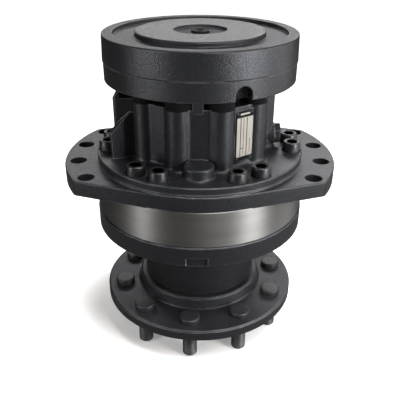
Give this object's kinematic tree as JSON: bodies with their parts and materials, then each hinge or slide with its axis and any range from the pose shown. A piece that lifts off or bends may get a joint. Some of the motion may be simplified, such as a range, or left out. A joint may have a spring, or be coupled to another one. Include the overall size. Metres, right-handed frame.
{
  "type": "hydraulic drive motor",
  "caption": "Black radial-piston hydraulic wheel drive motor with eared mounting flange, bare cam ring, studded wheel flange, ported housing and round disc-brake cover.",
  "frame": {"origin": "on the shaft's axis at the lower face of the mounting flange", "axes": "+Z along the shaft from the wheel flange to the brake cover, +X across the two ears of the mounting flange away from the port block, -Y the side with the name plate"},
  "size_m": [0.329, 0.258, 0.3836],
  "materials": {
    "painted_casting": "satin",
    "painted_forging": "satin",
    "brushed_ring": "brushed",
    "black_fastener": "satin",
    "bearing_steel": "polished",
    "spring_steel": "satin",
    "grey_iron": "machined",
    "bronze": "satin",
    "friction_lining": "matte",
    "seal_rubber": "matte",
    "plate_metal": "satin"
  },
  "bodies": {
    "case": {"mounting_flange": "painted_casting", "cam_ring": "brushed_ring", "cam_ring_seals": "seal_rubber", "valve_housing_seal": "seal_rubber", "front_case": "painted_casting", "front_bearing_cup": "bearing_steel", "rear_bearing_cup": "bearing_steel", "shaft_seal": "seal_rubber", "distributor": "grey_iron", "distributor_seal": "seal_rubber", "distributor_spring": "spring_steel", "valve_housing": "painted_casting", "drain_plug": "black_fastener", "case_screws": "black_fastener", "brake_housing": "painted_casting", "brake_bolts": "black_fastener", "brake_steel_discs": "bearing_steel", "disc_springs": "spring_steel", "brake_cover": "painted_casting", "cover_snap_ring": "black_fastener", "cover_plug": "black_fastener", "name_plate": "plate_metal"},
    "shaft": {"output_shaft": "painted_forging", "wheel_studs": "black_fastener", "front_bearing_cone": "bearing_steel", "rear_bearing_cone": "bearing_steel", "bearing_sleeve": "bearing_steel", "bearing_nut": "bearing_steel", "cylinder_block": "grey_iron", "brake_shaft": "bearing_steel", "brake_friction_discs": "friction_lining"},
    "front_bearing_set": {"front_bearing_rollers": "bearing_steel", "front_bearing_cage": "bronze"},
    "rear_bearing_set": {"rear_bearing_rollers": "bearing_steel", "rear_bearing_cage": "bronze"},
    "brake_piston": {"brake_piston": "grey_iron", "brake_piston_seals": "seal_rubber"},
    "piston_1": {"piston_1": "bearing_steel"},
    "cam_roller_1": {"cam_roller_1": "bearing_steel"},
    "piston_2": {"piston_2": "bearing_steel"},
    "cam_roller_2": {"cam_roller_2": "bearing_steel"},
    "piston_3": {"piston_3": "bearing_steel"},
    "cam_roller_3": {"cam_roller_3": "bearing_steel"},
    "piston_4": {"piston_4": "bearing_steel"},
    "cam_roller_4": {"cam_roller_4": "bearing_steel"},
    "piston_5": {"piston_5": "bearing_steel"},
    "cam_roller_5": {"cam_roller_5": "bearing_steel"},
    "piston_6": {"piston_6": "bearing_steel"},
    "cam_roller_6": {"cam_roller_6": "bearing_steel"},
    "piston_7": {"piston_7": "bearing_steel"},
    "cam_roller_7": {"cam_roller_7": "bearing_steel"},
    "piston_8": {"piston_8": "bearing_steel"},
    "cam_roller_8": {"cam_roller_8": "bearing_steel"}
  },
  "joints": [
    {"name": "shaft_spin", "type": "hinge", "parent": "case", "child": "shaft", "pos_m": [0, 0, 0], "axis": [0, 0, 1], "continuous": true},
    {"name": "front_bearing_spin", "type": "hinge", "parent": "case", "child": "front_bearing_set", "pos_m": [0, 0, -0.1235], "axis": [0, 0, 1], "continuous": true},
    {"name": "rear_bearing_spin", "type": "hinge", "parent": "case", "child": "rear_bearing_set", "pos_m": [0, 0, -0.08], "axis": [0, 0, 1], "continuous": true},
    {"name": "brake_release", "type": "slide", "parent": "case", "child": "brake_piston", "axis": [0, 0, 1], "range_m": [0, 0.0018], "stiffness_N_per_m": 20000, "springref_m": -0.002, "deforming": ["disc_springs"]},
    {"name": "piston_1_stroke", "type": "slide", "parent": "shaft", "child": "piston_1", "axis": [-0.1305, 0.9914, 0], "range_m": [0, 0.0102]},
    {"name": "cam_roller_1_spin", "type": "hinge", "parent": "piston_1", "child": "cam_roller_1", "pos_m": [-0.01102, 0.08368, -0.02125], "axis": [0, 0, 1], "continuous": true},
    {"name": "piston_2_stroke", "type": "slide", "parent": "shaft", "child": "piston_2", "axis": [-0.7934, 0.6088, 0], "range_m": [0, 0.0102]},
    {"name": "cam_roller_2_spin", "type": "hinge", "parent": "piston_2", "child": "cam_roller_2", "pos_m": [-0.06696, 0.05138, -0.02125], "axis": [0, 0, 1], "continuous": true},
    {"name": "piston_3_stroke", "type": "slide", "parent": "shaft", "child": "piston_3", "axis": [-0.9914, -0.1305, 0], "range_m": [0, 0.0018]},
    {"name": "cam_roller_3_spin", "type": "hinge", "parent": "piston_3", "child": "cam_roller_3", "pos_m": [-0.08368, -0.01102, -0.02125], "axis": [0, 0, 1], "continuous": true},
    {"name": "piston_4_stroke", "type": "slide", "parent": "shaft", "child": "piston_4", "axis": [-0.6088, -0.7934, 0], "range_m": [0, 0.0018]},
    {"name": "cam_roller_4_spin", "type": "hinge", "parent": "piston_4", "child": "cam_roller_4", "pos_m": [-0.05138, -0.06696, -0.02125], "axis": [0, 0, 1], "continuous": true},
    {"name": "piston_5_stroke", "type": "slide", "parent": "shaft", "child": "piston_5", "axis": [0.1305, -0.9914, 0], "range_m": [0, 0.0102]},
    {"name": "cam_roller_5_spin", "type": "hinge", "parent": "piston_5", "child": "cam_roller_5", "pos_m": [0.01102, -0.08368, -0.02125], "axis": [0, 0, 1], "continuous": true},
    {"name": "piston_6_stroke", "type": "slide", "parent": "shaft", "child": "piston_6", "axis": [0.7934, -0.6088, 0], "range_m": [0, 0.0102]},
    {"name": "cam_roller_6_spin", "type": "hinge", "parent": "piston_6", "child": "cam_roller_6", "pos_m": [0.06696, -0.05138, -0.02125], "axis": [0, 0, 1], "continuous": true},
    {"name": "piston_7_stroke", "type": "slide", "parent": "shaft", "child": "piston_7", "axis": [0.9914, 0.1305, 0], "range_m": [0, 0.0018]},
    {"name": "cam_roller_7_spin", "type": "hinge", "parent": "piston_7", "child": "cam_roller_7", "pos_m": [0.08368, 0.01102, -0.02125], "axis": [0, 0, 1], "continuous": true},
    {"name": "piston_8_stroke", "type": "slide", "parent": "shaft", "child": "piston_8", "axis": [0.6088, 0.7934, 0], "range_m": [0, 0.0018]},
    {"name": "cam_roller_8_spin", "type": "hinge", "parent": "piston_8", "child": "cam_roller_8", "pos_m": [0.05138, 0.06696, -0.02125], "axis": [0, 0, 1], "continuous": true}
  ],
  "couplings": [
    {"joint": "front_bearing_spin", "follows": "shaft_spin", "ratio": 0.44426},
    {"joint": "rear_bearing_spin", "follows": "shaft_spin", "ratio": 0.44426}
  ]
}
